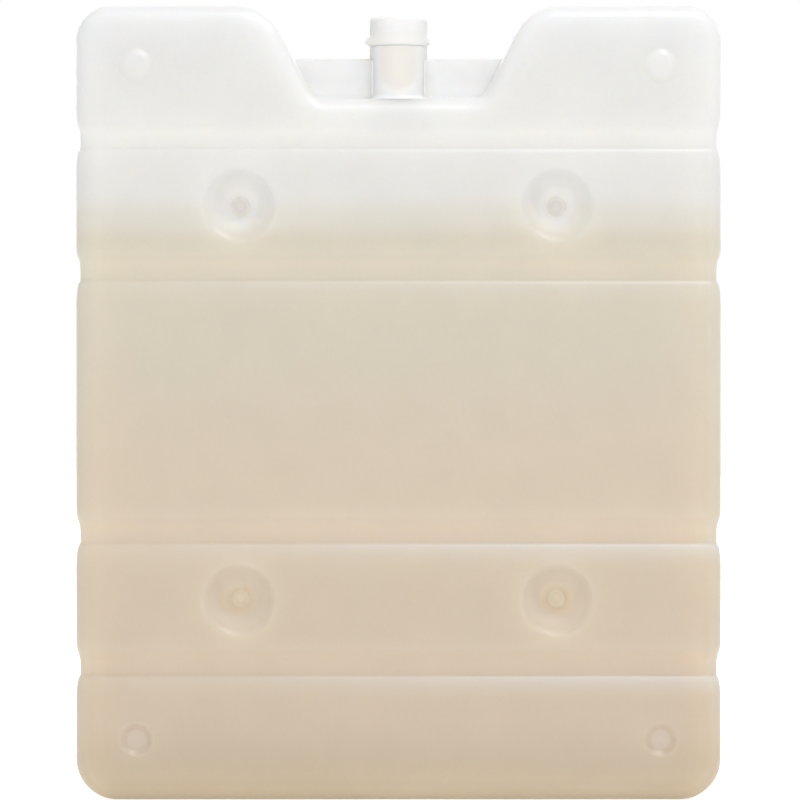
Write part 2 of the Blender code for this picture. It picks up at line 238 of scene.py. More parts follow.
def new_object(name, mesh, material=None):
    """Puts a mesh in the scene, at the origin."""
    thing = bpy.data.objects.new(name, mesh)
    bpy.context.scene.collection.objects.link(thing)
    if material:
        mesh.materials.clear()
        mesh.materials.append(material)
    return thing


def rounded_corner(before, corner, after, radius):
    """Points round one corner of an anticlockwise outline, as (point, outward normal, way round)."""
    come = (corner - before).normalized()
    go = (after - corner).normalized()
    turn = atan2(come.x * go.y - come.y * go.x, come.dot(go))
    side = 1 if turn > 0 else -1
    start = corner - come * radius * tan(abs(turn) / 2)
    first_normal = Vector((come.y, -come.x))
    centre = start - side * radius * first_normal
    steps = max(2, ceil(abs(turn) / CORNER_STEP))
    points = []
    for i in range(steps + 1):
        normal = Matrix.Rotation(turn * i / steps, 2) @ first_normal
        points.append((centre + side * radius * normal, normal, i / steps))
    return points


def pack_outline(levels):
    """The front outline, as (point, outward normal, rim radius, seam height), with points at each level."""
    half, floor, top = WIDTH / 2, NOTCH_FLOOR_WIDTH / 2, NOTCH_TOP_WIDTH / 2
    # Each corner has its place, its radius, and the rim radius and seam height of the edge that leaves it
    corners = [
        (half, 0, BASE_CORNER_RADIUS, SIDE_RIM_RADIUS, SEAM_HEIGHT),
        (half, HEIGHT, TOP_CORNER_RADIUS, TOP_RIM_RADIUS, SEAM_HEIGHT),
        (top, HEIGHT, NOTCH_TOP_RADIUS, TOP_RIM_RADIUS, SEAM_HEIGHT),
        (floor, NOTCH_FLOOR_Z, NOTCH_FLOOR_RADIUS, TOP_RIM_RADIUS, SEAM_HEIGHT),
        (-floor, NOTCH_FLOOR_Z, NOTCH_FLOOR_RADIUS, TOP_RIM_RADIUS, SEAM_HEIGHT),
        (-top, HEIGHT, NOTCH_TOP_RADIUS, TOP_RIM_RADIUS, SEAM_HEIGHT),
        (-half, HEIGHT, TOP_CORNER_RADIUS, SIDE_RIM_RADIUS, SEAM_HEIGHT),
        (-half, 0, BASE_CORNER_RADIUS, BASE_RIM_RADIUS, 0),
    ]
    outline = []
    for i, (x, z, radius, rim, seam) in enumerate(corners):
        before, after = corners[i - 1], corners[(i + 1) % len(corners)]
        bend = rounded_corner(Vector(before[:2]), Vector((x, z)), Vector(after[:2]), radius)
        for point, normal, way in bend:
            rim_here = before[3] + (rim - before[3]) * way
            seam_here = before[4] + (seam - before[4]) * way
            outline.append((point, normal, rim_here, seam_here))
    fine = []
    for i, (point, normal, rim, seam) in enumerate(outline):
        fine.append((point, normal, rim, seam))
        beyond = outline[(i + 1) % len(outline)][0]
        run = beyond - point
        if run.length < 2 * EDGE_STEP:
            continue
        if abs(run.x) < TOUCH:
            shares = sorted((z - point.y) / run.y for z in levels)
            shares = [s for s in shares if END_MARGIN < s < 1 - END_MARGIN]
        else:
            count = round(run.length / EDGE_STEP)
            shares = [k / count for k in range(1, count)]
        fine += [(point + run * s, normal, rim, seam) for s in shares]
    return fine


def face_levels():
    """Heights at which the faces need rows of points: close at a groove, wide apart elsewhere."""
    levels = set()
    for pair in (LOW_PAIR_Z, HIGH_PAIR_Z):
        for middle in (pair - GROOVE_SPACING / 2, pair + GROOVE_SPACING / 2):
            offset = -GROOVE_REACH
            while offset < GROOVE_REACH:
                levels.add(round(middle + offset, 6))
                offset += FINE_ROW_STEP if FINE_ROWS_FROM < offset < FINE_ROWS_TO else ROW_STEP
    anchors = sorted(levels)
    for low, high in zip([0, *anchors], [*anchors, HEIGHT]):
        gap = high - low
        steps = round(gap / EDGE_STEP)
        for k in range(1, steps):
            levels.add(round(low + gap * k / steps, 6))
    return sorted(levels)


def polar_points(centre, radii, count):
    """Points on rings round a centre."""
    points = [centre]
    for i, radius in enumerate(radii):
        for k in range(count):
            angle = 2 * pi * (k + 0.5 * (i % 2)) / count
            points.append(centre + Vector((cos(angle), sin(angle))) * radius)
    return points


def face_points(border, levels):
    """Points over a face inside its border: rings at the round features and rows everywhere else."""
    kiss_off_radii = [radius for run in KISS_OFF_RINGS for radius in np.arange(*run)]
    stacking_radii = [radius for run in STACKING_RINGS for radius in np.arange(*run)]
    rounds = []
    for side in (-1, 1):
        for z in (LOW_PAIR_Z, HIGH_PAIR_Z):
            centre = Vector((side * KISS_OFF_SPAN / 2, z))
            rounds.append((centre, kiss_off_radii, KISS_OFF_RING_POINTS))
        for z in (STACKING_INSET, HEIGHT - STACKING_INSET):
            centre = Vector((side * (WIDTH / 2 - STACKING_INSET), z))
            rounds.append((centre, stacking_radii, STACKING_RING_POINTS))
    points = []
    for centre, radii, count in rounds:
        points += polar_points(centre, radii, count)
    edge = np.array([tuple(p) for p in border])
    columns = round(WIDTH / FIELD_STEP)
    for z in levels:
        for k in range(1, columns):
            point = Vector(((k / columns - 0.5) * WIDTH, z))
            if any((point - centre).length < radii[-1] + RING_CLEARANCE for centre, radii, _ in rounds):
                continue
            if np.hypot(edge[:, 0] - point.x, edge[:, 1] - point.y).min() > BORDER_CLEARANCE:
                points.append(point)
    return points


def plain_slab():
    """The slab without its features, with each point's own outward direction kept as an attribute."""
    levels = face_levels()
    outline = pack_outline(levels)
    count = len(outline)
    places, outward, faces = [], [], []
    angles = [i / RIM_STEPS * pi / 2 for i in range(RIM_STEPS + 1)]

    def ring(side, angle, share=0.0, y=None, inside=0.0):
        """One ring of points: on the rim at an angle, or beside the parting line."""
        for point, normal, rim, seam in outline:
            flat = point - (rim * (1 - cos(angle)) + inside - share * seam) * normal
            depth = side * (THICKNESS / 2 - rim * (1 - sin(angle))) if y is None else y
            places.append((flat.x, depth, flat.y))
            outward.append((normal.x * cos(angle), side * sin(angle), normal.y * cos(angle)))

    for inside in FACE_RINGS:
        ring(FRONT, pi / 2, inside=inside)
    for angle in reversed(angles):
        ring(FRONT, angle)
    for y, share in ((-1, 0), (-0.5, 1), (0.5, 1), (1, 0)):
        ring(FRONT, 0, share=share, y=y * SEAM_WIDTH / 2)
    for angle in angles:
        ring(BACK, angle)
    for inside in reversed(FACE_RINGS):
        ring(BACK, pi / 2, inside=inside)
    rings = len(places) // count
    for r in range(rings - 1):
        for i in range(count):
            j = (i + 1) % count
            a, b = r * count, (r + 1) * count
            faces.append((a + i, b + i, b + j, a + j))

    border = [Vector((places[i][0], places[i][2])) for i in range(count)]
    inner = face_points(border, levels)
    keep_inside, least_gap = 1, TOUCH / 10
    flat = delaunay_2d_cdt(border + inner, [], [list(range(count))], keep_inside, least_gap)
    flat_points, triangles, sources = flat[0], flat[2], flat[3]
    for side, first in ((FRONT, 0), (BACK, (rings - 1) * count)):
        index = {}
        for k, point in enumerate(flat_points):
            on_border = [n for n in sources[k] if n < count]
            if on_border:
                index[k] = first + on_border[0]
            else:
                index[k] = len(places)
                places.append((point.x, side * THICKNESS / 2, point.y))
                outward.append((0, side, 0))
        for triangle in triangles:
            corners = [index[k] for k in triangle]
            faces.append(corners if side == FRONT else corners[::-1])
    mesh = bpy.data.meshes.new("plain_slab")
    mesh.from_pydata(places, [], faces)
    attribute = mesh.attributes.new("outward", "FLOAT_VECTOR", "POINT")
    attribute.data.foreach_set("vector", np.array(outward, np.float32).ravel())
    mesh.update()
    return new_object("plain_slab", mesh)


MOULD_SIZES = {
    "Height": HEIGHT,
    "Low pair level": LOW_PAIR_Z,
    "Pair spacing": HIGH_PAIR_Z - LOW_PAIR_Z,
    "Groove spacing": GROOVE_SPACING,
    "Groove reach": GROOVE_REACH,
    "Groove depth": GROOVE_DEPTH,
    "Kiss-off offset": KISS_OFF_SPAN / 2,
    "Kiss-off reach": KISS_OFF_REACH,
    "Kiss-off depth": KISS_OFF_DEPTH,
    "Stacking offset": WIDTH / 2 - STACKING_INSET,
    "Stacking level": HEIGHT / 2 - STACKING_INSET,
    "Stacking radius": NUB_RADIUS,
    "Stacking top radius": NUB_TOP_RADIUS,
    "Nub height": NUB_HEIGHT,
    "Recess depth": NUB_HEIGHT + RECESS_EXTRA_DEPTH,
    "Panel warp": PANEL_WARP,
    "Warp spacing": WARP_SPACING,
}


def press_mould_tree(material):
    """Geometry Nodes that press grooves, kiss-offs and stacking marks into a slab, as a mould does."""
    tree = bpy.data.node_groups.new("press_mould", "GeometryNodeTree")
    tree.interface.new_socket("Geometry", in_out="INPUT", socket_type="NodeSocketGeometry")
    for name in MOULD_SIZES:
        tree.interface.new_socket(name, in_out="INPUT", socket_type="NodeSocketFloat")
    tree.interface.new_socket("Geometry", in_out="OUTPUT", socket_type="NodeSocketGeometry")
    sizes = tree.nodes.new("NodeGroupInput").outputs
    math = partial(math_step, tree)

    place = add(tree, "GeometryNodeInputPosition").outputs[0]
    x, y, z = add(tree, "ShaderNodeSeparateXYZ", {0: place}).outputs
    outward = add(tree, "GeometryNodeInputNamedAttribute", {"Name": "outward"}, data_type="FLOAT_VECTOR")
    middle = math("MULTIPLY", sizes["Height"], 0.5)
    upper = math("GREATER_THAN", z, middle)
    two_ways = (2, -1)  # turns a yes or no into 1 or -1
    pair = math("MULTIPLY_ADD", upper, sizes["Pair spacing"], sizes["Low pair level"])
    over_pair = math("SUBTRACT", z, pair)

    # Grooves, which run right round the slab
    hand = math("MULTIPLY_ADD", math("GREATER_THAN", over_pair, 0), *two_ways)
    half_spacing = math("MULTIPLY", sizes["Groove spacing"], 0.5)
    over_groove = math("SUBTRACT", over_pair, math("MULTIPLY", hand, half_spacing))
    reach = math("MULTIPLY", sizes["Groove reach"], 2)
    share = math("ADD", math("DIVIDE", over_groove, reach), 0.5)
    groove = add(tree, "ShaderNodeFloatCurve", {"Value": share})
    set_curve(groove, [(h / (2 * GROOVE_REACH) + 0.5, depth) for h, depth in GROOVE_PROFILE])
    groove_depth = math("MULTIPLY", groove.outputs[0], sizes["Groove depth"])

    # Kiss-offs, in the middle of each pair of grooves
    across = math("SUBTRACT", math("ABSOLUTE", x), sizes["Kiss-off offset"])
    share = math("DIVIDE", distance(tree, across, over_pair), sizes["Kiss-off reach"])
    dish = add(tree, "ShaderNodeFloatCurve", {"Value": share})
    set_curve(dish, [(r / KISS_OFF_REACH, depth) for r, depth in KISS_OFF_PROFILE])
    dish_depth = math("MULTIPLY", dish.outputs[0], sizes["Kiss-off depth"])

    # Stacking marks: nubs high on the front and low on the back, recesses in the other four places
    across = math("SUBTRACT", math("ABSOLUTE", x), sizes["Stacking offset"])
    level = math("SUBTRACT", math("ABSOLUTE", math("SUBTRACT", z, middle)), sizes["Stacking level"])
    radius = distance(tree, across, level)
    mark = soft_step(tree, radius, sizes["Stacking radius"], sizes["Stacking top radius"])
    side = math("SIGN", y)
    hand = math("MULTIPLY", side, math("MULTIPLY_ADD", upper, *two_ways))
    is_recess = math("GREATER_THAN", hand, 0)
    both = math("ADD", sizes["Nub height"], sizes["Recess depth"])
    height = math("SUBTRACT", math("MULTIPLY", is_recess, both), sizes["Nub height"])
    mark_depth = math("MULTIPLY", mark, height)

    # The panels of a blown pack are never quite flat
    scale = math("DIVIDE", 1, sizes["Warp spacing"])
    warp = add(tree, "ShaderNodeTexNoise", {"Vector": place, "Scale": scale, "Detail": 1.0})
    warp_depth = math("MULTIPLY", warp.outputs[0], sizes["Panel warp"])

    depth_along = math("ADD", groove_depth, warp_depth)
    way = outward.outputs[0]
    sunk = add(tree, "ShaderNodeVectorMath", {0: way, "Scale": depth_along}, operation="SCALE")
    depth_in = math("MULTIPLY", math("ADD", dish_depth, mark_depth), side)
    pushed = add(tree, "ShaderNodeCombineXYZ", {1: depth_in})
    inward = add(tree, "ShaderNodeVectorMath", {0: sunk.outputs[0], 1: pushed.outputs[0]}, operation="ADD")
    moved = add(tree, "ShaderNodeVectorMath", {0: place, 1: inward.outputs[0]}, operation="SUBTRACT")
    pressed = add(
        tree,
        "GeometryNodeSetPosition",
        {"Geometry": sizes["Geometry"], "Position": moved.outputs[0]},
    )
    smooth = add(tree, "GeometryNodeSetShadeSmooth", {0: pressed.outputs[0]})
    real = add(tree, "GeometryNodeRealizeInstances", {0: smooth.outputs[0]})
    painted = add(tree, "GeometryNodeSetMaterial", {"Geometry": real.outputs[0], "Material": material})
    add(tree, "NodeGroupOutput", {0: painted.outputs[0]})
    return tree


def blown_shell(material):
    """The slab with everything that the mould presses into it."""
    slab = plain_slab()
    tree = press_mould_tree(material)
    press = slab.modifiers.new("press", "NODES")
    press.node_group = tree
    for item in tree.interface.items_tree:
        if item.in_out == "INPUT" and item.name in MOULD_SIZES:
            press[item.identifier] = MOULD_SIZES[item.name]
    graph = bpy.context.evaluated_depsgraph_get()
    mesh = bpy.data.meshes.new_from_object(slab.evaluated_get(graph))
    mesh.attributes.remove(mesh.attributes["outward"])
    bpy.data.objects.remove(slab)
    return new_object("blown_shell", mesh, material)


def notch_edge():
    """The outline of the notch alone, as an array of closely spaced points."""
    steps, margin = 40, 0.0001
    half, low = NOTCH_TOP_WIDTH / 2, NOTCH_FLOOR_Z - margin
    places = [point for point, *_ in pack_outline([]) if abs(point.x) < half and point.y > low]
    fine = []
    for one, other in zip(places, places[1:]):
        fine += [one.lerp(other, k / steps) for k in range(steps)]
    return np.array([tuple(p) for p in fine])


def pinched_web(material):
    """The web of squeezed wall in the notch. Its faces swell out where it meets the ears and the neck."""
    edge = notch_edge()
    columns, rows = WEB_COLUMNS, WEB_ROWS
    low, high = NOTCH_FLOOR_Z - WEB_SINK, NOTCH_FLOOR_Z + WEB_HEIGHT

    def fillet(gap, radius):
        """How far a face swells at a distance from what it meets."""
        gap = min(max(gap, 0.0), radius)
        return radius - (radius**2 - (radius - gap) ** 2) ** 0.5

    shape = bmesh.new()
    sheets = []
    for side in (FRONT, BACK):
        sheet = []
        for j in range(rows + 1):
            share = j / rows
            z = low + (high - low) * (1 - (1 - share) ** WEB_ROW_CROWDING)
            half = NOTCH_FLOOR_WIDTH / 2 + max(z - NOTCH_FLOOR_Z, 0) / tan(NOTCH_WALL_ANGLE) + WEB_SINK
            line = []
            for i in range(columns + 1):
                x = (i / columns - 0.5) * 2 * half
                gap = np.hypot(edge[:, 0] - x, edge[:, 1] - z).min()
                in_notch = z > NOTCH_FLOOR_Z and abs(x) < half - WEB_HIDDEN
                swell = fillet(gap if in_notch else 0.0, WEB_FILLET)
                neck_gap = abs(x) - NECK_DIAMETER / 2 + WEB_NECK_OVERLAP
                swell = max(swell, fillet(neck_gap, WEB_NECK_FILLET))
                thick = WEB_THICKNESS / 2 + swell
                under = (high - z) / WEB_ROUNDING
                if under < 1:
                    thick *= (1 - (1 - under) ** 2) ** 0.5
                line.append(shape.verts.new((x, side * thick, z)))
            sheet.append(line)
        sheets.append(sheet)
    for side, sheet in zip((FRONT, BACK), sheets):
        for j in range(rows):
            for i in range(columns):
                quad = (sheet[j][i], sheet[j][i + 1], sheet[j + 1][i + 1], sheet[j + 1][i])
                shape.faces.new(quad if side == FRONT else quad[::-1])
    front, back = sheets
    for j in range(rows):
        shape.faces.new((front[j][0], front[j + 1][0], back[j + 1][0], back[j][0]))
        shape.faces.new((front[j][-1], back[j][-1], back[j + 1][-1], front[j + 1][-1]))
    for i in range(columns):
        shape.faces.new((front[0][i], back[0][i], back[0][i + 1], front[0][i + 1]))
    bmesh.ops.remove_doubles(shape, verts=shape.verts, dist=TOUCH)
    bmesh.ops.recalc_face_normals(shape, faces=shape.faces)
    mesh = bpy.data.meshes.new("pinched_web")
    shape.to_mesh(mesh)
    shape.free()
    mesh.shade_smooth()
    return new_object("pinched_web", mesh, material)


def turned_piece(name, profile, material, reshape=None):
    """A turned solid from a profile of (radius, height), with an optional change of each point's radius."""
    shape = bmesh.new()
    rings = []
    for radius, height in profile:
        if radius < TOUCH:
            rings.append([shape.verts.new((0, 0, height))])
            continue
        ring = []
        for k in range(TURN_STEPS):
            angle = 2 * pi * k / TURN_STEPS
            here = radius if reshape is None else reshape(radius, height, angle)
            ring.append(shape.verts.new((here * cos(angle), here * sin(angle), height)))
        rings.append(ring)
    for one, other in zip(rings, rings[1:]):
        for k in range(TURN_STEPS):
            j = (k + 1) % TURN_STEPS
            if len(one) == 1:
                shape.faces.new((one[0], other[k], other[j]))
            elif len(other) == 1:
                shape.faces.new((one[k], other[0], one[j]))
            else:
                shape.faces.new((one[k], other[k], other[j], one[j]))
    bmesh.ops.recalc_face_normals(shape, faces=shape.faces)
    mesh = bpy.data.meshes.new(name)
    shape.to_mesh(mesh)
    shape.free()
    mesh.shade_smooth()
    return new_object(name, mesh, material)


def arc(centre, radius, start, stop, steps):
    """Points on part of a circle in a (radius, height) section."""
    angles = [start + (stop - start) * k / steps for k in range(steps + 1)]
    return [(centre[0] + radius * cos(a), centre[1] + radius * sin(a)) for a in angles]


def filler_neck(material):
    """The filler neck, with a soft foot on the notch floor and a rounded mouth."""
    radius = NECK_DIAMETER / 2
    foot_radius = radius + NECK_FOOT
    root_z = NOTCH_FLOOR_Z - NECK_ROOT
    foot_top_z = NOTCH_FLOOR_Z + NECK_FOOT
    profile = [(0, root_z), (foot_radius, root_z), (foot_radius, NOTCH_FLOOR_Z - NECK_FOOT_DEPTH)]
    profile += arc((foot_radius, foot_top_z), NECK_FOOT, -pi / 2, -pi, 8)
    steps = 12
    straight = NECK_TOP_Z - NECK_LIP - foot_top_z
    profile += [(radius, foot_top_z + straight * k / steps) for k in range(1, steps)]
    profile += arc((radius - NECK_LIP, NECK_TOP_Z - NECK_LIP), NECK_LIP, 0, pi / 2, 4)
    profile.append((0, NECK_TOP_Z))
    return turned_piece("filler_neck", profile, material)


def weld_flash(radius, height, angle):
    """Makes the collar uneven: plastic squeezed out at the left, less at the right, little in front."""
    core = NECK_DIAMETER / 2
    if radius <= core + TOUCH:
        return radius
    left = FLASH_LEFT * max(0.0, cos(angle - pi)) ** 10
    right = FLASH_RIGHT * max(0.0, cos(angle)) ** 12
    ripple = sum(size * sin(number * angle + start) for size, number, start in RIPPLES)
    share = FLASH_FRONT + FLASH_RIPPLE * ripple + left + right
    return core + (radius - core) * max(share, FLASH_LEAST)


def closure_plug(material):
    """The head of the plug, with the bead of plastic that its weld squeezed out."""
    head = NECK_DIAMETER / 2
    low = NECK_TOP_Z - WELD_OVERLAP
    collar_top = low + COLLAR_HEIGHT
    top = collar_top + HEAD_HEIGHT
    tip_start = -0.45 * pi  # just off the axis, where the first point closes the tip
    profile = [(0, SHANK_TIP_Z)]
    profile += arc((0, SHANK_TIP_Z + SHANK_RADIUS), SHANK_RADIUS, tip_start, 0, 8)
    profile.append((SHANK_RADIUS, low))
    for reach, height in COLLAR_PROFILE:
        profile.append((head + reach * COLLAR_REACH, low + height * COLLAR_HEIGHT))
    steps = 8
    straight = top - HEAD_ROUNDING - collar_top
    profile += [(head, collar_top + straight * k / steps) for k in range(steps)]
    profile += arc((head - HEAD_ROUNDING, top - HEAD_ROUNDING), HEAD_ROUNDING, 0, pi / 2, 8)
    inner = head - HEAD_ROUNDING - HEAD_DISH_INSET
    steps = 10
    for share in [k / steps for k in range(steps + 1)]:
        profile.append((inner * (1 - share), top - HEAD_DISH * sin(pi / 2 * share) ** 2))
    return turned_piece("closure_plug", profile, material, weld_flash)


# What shows through the wall at each height, from the base up: the coolant is browner and darker low down,
# its surface is soft, and above it the empty shell is milky white.
SHELL_COLOURS = (
    (0.000, "#C5B398"),
    (0.035, "#CEBFA8"),
    (0.105, "#D5C6B2"),
    (0.235, "#D7C9B5"),
    (0.380, "#DACDBA"),
    (0.610, "#D9D1C1"),
    (0.700, "#DAD3C3"),
    (0.730, "#DFDCD2"),
    (0.765, "#E4E3E0"),
    (0.890, "#E6E6E4"),
    (1.000, "#E3E4E5"),
)
LEVEL_WANDER = 0.005  # how far the colours of the coolant wander up and down
LEVEL_GRAIN = 0.045
MOTTLE, MOTTLE_GRAIN = 0.06, 0.016
SPECKLE, SPECKLE_GRAIN = 0.05, 0.0007
BRIGHTEST = 0.96
# Painted light: how far the wall's colour is painted towards a light colour, from the middle of a kiss-off
# outwards: (radius, share). It stands in for light from behind through the squeezed plastic and lifts the
# dish's shade.
KISS_OFF_PAINTED_LIGHT = (
    (0.0, 0.0),
    (0.0022, 0.0),
    (0.0029, 0.30),
    (0.0037, 0.72),
    (0.0046, 0.82),
    (0.0060, 0.59),
    (0.0080, 0.24),
    (0.0100, 0.03),
    (0.0125, 0.0),
)
# The lower kiss-offs have coolant round them, so their painted light is weaker and warmer than the upper
# ones'.
PAINTED_LIGHT_COLOUR = "#FCFCFC"
LOW_PAINTED_LIGHT_COLOUR = "#FBF4E8"
LOW_PAINTED_LIGHT = 0.78
# The fused spot itself is solid plastic and looks greyer.
SPOT_RADIUS, SPOT_FADE = 0.0025, 0.0009
SPOT_COLOUR = "#9C9B9D"
SPOT_SHARE = 0.95
LOW_SPOT_COLOUR = "#9F8D77"
LOW_SPOT_SHARE = 0.85
RIM_PAINTED_SHADE = -0.032  # painted shade: how much darker the wall is painted in a ring at a kiss-off's rim, which dims the highlight there
RIM_INSIDE, RIM_OUTSIDE, RIM_FADE = 0.0101, 0.0117, 0.0007
# Between these radii the wall takes on the finish of the inside of a kiss-off.
DISH_EDGE, DISH_INSIDE = 0.0108, 0.0094
DISH_ROUGHNESS = 0.22  # how much rougher the wall is there, where the mould's pins press it
DISH_FLATNESS = 0.5  # how far light that scatters through the wall evens out the shade there
DISH_BLEND = 0.0008
RECESS_PAINTED_LIGHT = 0.20  # painted light: how far the wall is painted towards a light colour in a stacking recess, against its shade
RECESS_LIGHT_EDGE, RECESS_LIGHT_INSIDE = NUB_RADIUS - 0.0008, NUB_TOP_RADIUS - 0.0004
EDGE_PAINTED_SHADE = -0.085  # painted shade: how much darker the wall is painted at the pack's two sides, against the light that scatters in there
EDGE_REACH = 0.008
# Painted light: how much brighter the wall is painted at a groove, from its lower to its upper side:
# (height over its level, gain). It lifts the shade on the groove's downward-facing upper slope.
GROOVE_PAINTED_LIGHT = (
    (-0.0098, 0.0),
    (-0.0032, 0.0),
    (-0.0022, 0.04),
    (0.0000, 0.065),
    (0.0022, 0.08),
    (0.0045, 0.045),
    (0.0070, 0.015),
    (0.0098, 0.0),
)
# Painted highlight: how far the wall is painted towards a bluish white under a groove's step: (height over
# its level, share). It grows more and more towards the right end of the groove, the side the light comes
# from.
GROOVE_STEP_PAINTED_HIGHLIGHT = (
    (-0.0098, 0.0),
    (-0.0076, 0.10),
    (-0.0052, 0.22),
    (-0.0040, 0.32),
    (-0.0034, 0.28),
    (-0.0024, 0.04),
    (0.0000, 0.0),
    (0.0098, 0.0),
)
STEP_HIGHLIGHT_COLOUR = "#E4E8ED"
HIGHLIGHT_STARTS_AT, HIGHLIGHT_FULL_AT = -0.13, 0.07
UPPER_HIGHLIGHT_SHARE = 0.30  # of the above, at the upper pair of grooves

# Polyethylene: how it bends and scatters light, red furthest, and the satin of its skin
HDPE_IOR = 1.53
RED_GREEN_BLUE_REACH = (1.0, 0.92, 0.80)
WALL_SCATTER = 0.020
SOLID_SCATTER = 0.0008  # where the plastic is thick or squeezed
BLOWN_ROUGHNESS = 0.36
PRESSED_ROUGHNESS = 0.34
GLOSS_SPREAD, GLOSS_GRAIN = 0.08, 0.012
WAVE_HEIGHT, WAVE_GRAIN = 0.00006, 0.006
# The skin that a blasted mould leaves is finer than a pixel, about 0.2 mm, so it is drawn coarser
SKIN_HEIGHT, SKIN_GRAIN = 0.000012, 0.0009
SKIN_RELIEF = 0.6
CLOUDED_WHITE = ((0.3, "#F5F5F4"), (0.7, "#F8F8F7"))

# Web
# From the web's foot up; the lightest colour, at its foot, is painted light against the shade by the notch
# floor
WEB_TONES_AND_PAINTED_LIGHT = ((0.0, "#F8F8F8"), (0.15, "#F5F5F5"), (0.5, "#F1F1F1"), (0.9, "#F2F2F2"), (1.0, "#E8E8E8"))
WEB_MOTTLE, WEB_MOTTLE_GRAIN = 0.08, 0.005
WEB_FLATNESS, WEB_BLEND = 0.6, 0.001

# Neck and plug
TUBE_COLOUR = "#EEEAE2"
TUBE_SHARE = 0.8
TUBE_FADE = 0.0012
NECK_GRAIN, PLUG_GRAIN = 0.008, 0.004
NECK_FLATNESS, PLUG_FLATNESS = 0.75, 0.6
TURNED_BLEND = 0.004
MELTED_COLOUR = "#F5F3ED"
MELTED_SHARE = 0.7
MELTED_FADE = 0.001

# Coolant
COOLANT_COLOURS = ((0.0, "#BFA88A"), (0.35, "#D2C0A4"), (0.7, "#DDD0B8"))
COOLANT_SCATTER = 0.006
CLOUD, CLOUD_GRAIN, CLOUD_DETAIL = 0.16, 0.020, 3.0
WETNESS_SPREAD, WETNESS_GRAIN = 0.06, 0.030
WET_ROUGHNESS = 0.12
RIPPLE_HEIGHT, RIPPLE_GRAIN, RIPPLE_RELIEF = 0.0001, 0.025, 0.5


def grain(tree, place, size, detail=2.0):
    """Noise between 0 and 1, with features of about one size in metres."""
    sizes = {"Vector": place, "Scale": 1 / size, "Detail": detail}
    return add(tree, "ShaderNodeTexNoise", sizes).outputs[0]


def wandering(tree, place, size, spread, middle=0.0, detail=2.0):
    """A value that wanders over a spread about its middle, with grain of one size."""
    low = middle - spread / 2
    return math_step(tree, "MULTIPLY_ADD", grain(tree, place, size, detail), spread, low)


def colour_ramp(tree, share, stops):
    """A run of colours from (share, hex code) stops."""
    node = add(tree, "ShaderNodeValToRGB", {0: share})
    node.color_ramp.interpolation = "EASE"
    elements = node.color_ramp.elements
    for i, (where, code) in enumerate(stops):
        element = elements[i] if i < 2 else elements.new(where)
        element.position = where
        element.color = linear(code)
    return node.outputs[0]


def mixed(tree, share, colour, other):
    """A colour taken a share of the way to another one. Either may be a hex code."""
    ends = [linear(c) if isinstance(c, str) else c for c in (colour, other)]
    return add(tree, "ShaderNodeMix", {0: share, 6: ends[0], 7: ends[1]}, data_type="RGBA").outputs[2]


def feature_radius(tree, place, half_span, level):
    """How far a point is, seen from the front, from the nearest of four marks round the pack's middle."""
    x, _, z = add(tree, "ShaderNodeSeparateXYZ", {0: place}).outputs
    across = math_step(tree, "SUBTRACT", math_step(tree, "ABSOLUTE", x), half_span)
    over = math_step(tree, "ABSOLUTE", math_step(tree, "SUBTRACT", z, HEIGHT / 2))
    along = math_step(tree, "SUBTRACT", over, HEIGHT / 2 - level)
    return distance(tree, across, along)


def recess_painted_light(tree, place):
    """Painted light in a stacking recess, against the shade in it: low on the front and high on the back.
    """
    radius = feature_radius(tree, place, WIDTH / 2 - STACKING_INSET, STACKING_INSET)
    _, y, z = add(tree, "ShaderNodeSeparateXYZ", {0: place}).outputs
    hand = math_step(tree, "MULTIPLY", math_step(tree, "SUBTRACT", z, HEIGHT / 2), y)
    mark = soft_step(tree, radius, RECESS_LIGHT_EDGE, RECESS_LIGHT_INSIDE)
    is_recess = math_step(tree, "GREATER_THAN", hand, 0)
    return math_step(tree, "MULTIPLY", math_step(tree, "MULTIPLY", mark, is_recess), RECESS_PAINTED_LIGHT)


def by_groove(tree, z, points):
    """A value that depends on the height over the nearest groove's level, from (height, value) points."""
    upper = math_step(tree, "GREATER_THAN", z, HEIGHT / 2)
    pair = math_step(tree, "MULTIPLY_ADD", upper, HIGH_PAIR_Z - LOW_PAIR_Z, LOW_PAIR_Z)
    over_pair = math_step(tree, "SUBTRACT", z, pair)
    hand = math_step(tree, "SIGN", over_pair)
    over = math_step(tree, "SUBTRACT", over_pair, math_step(tree, "MULTIPLY", hand, GROOVE_SPACING / 2))
    share = math_step(tree, "MULTIPLY_ADD", over, 0.5 / GROOVE_REACH, 0.5)
    inside = add(tree, "ShaderNodeClamp", {"Value": share}).outputs[0]
    curve = add(tree, "ShaderNodeFloatCurve", {"Value": inside})
    set_curve(curve, [(height / (2 * GROOVE_REACH) + 0.5, value) for height, value in points])
    return curve.outputs[0]


def brighter(tree, colour, gain):
    """A colour times 1 plus a gain, kept under full white."""
    factor = math_step(tree, "ADD", gain, 1.0)
    lit = add(tree, "ShaderNodeVectorMath", {0: colour, "Scale": factor}, operation="SCALE").outputs[0]
    most = (BRIGHTEST, BRIGHTEST, BRIGHTEST)
    return add(tree, "ShaderNodeVectorMath", {0: lit, 1: most}, operation="MINIMUM").outputs[0]


def edge_painted_shade(tree, place):
    """Painted shade near the pack's two sides, against the light that scatters in through the rims. It
    fades at the ears.
    """
    x, _, z = add(tree, "ShaderNodeSeparateXYZ", {0: place}).outputs
    across = math_step(tree, "ABSOLUTE", x)
    out = soft_step(tree, across, WIDTH / 2 - EDGE_REACH, WIDTH / 2 - EDGE_REACH / 4)
    low = soft_step(tree, z, HEIGHT - STACKING_INSET, HEIGHT - 3 * STACKING_INSET)
    return math_step(tree, "MULTIPLY", math_step(tree, "MULTIPLY", out, low), EDGE_PAINTED_SHADE)


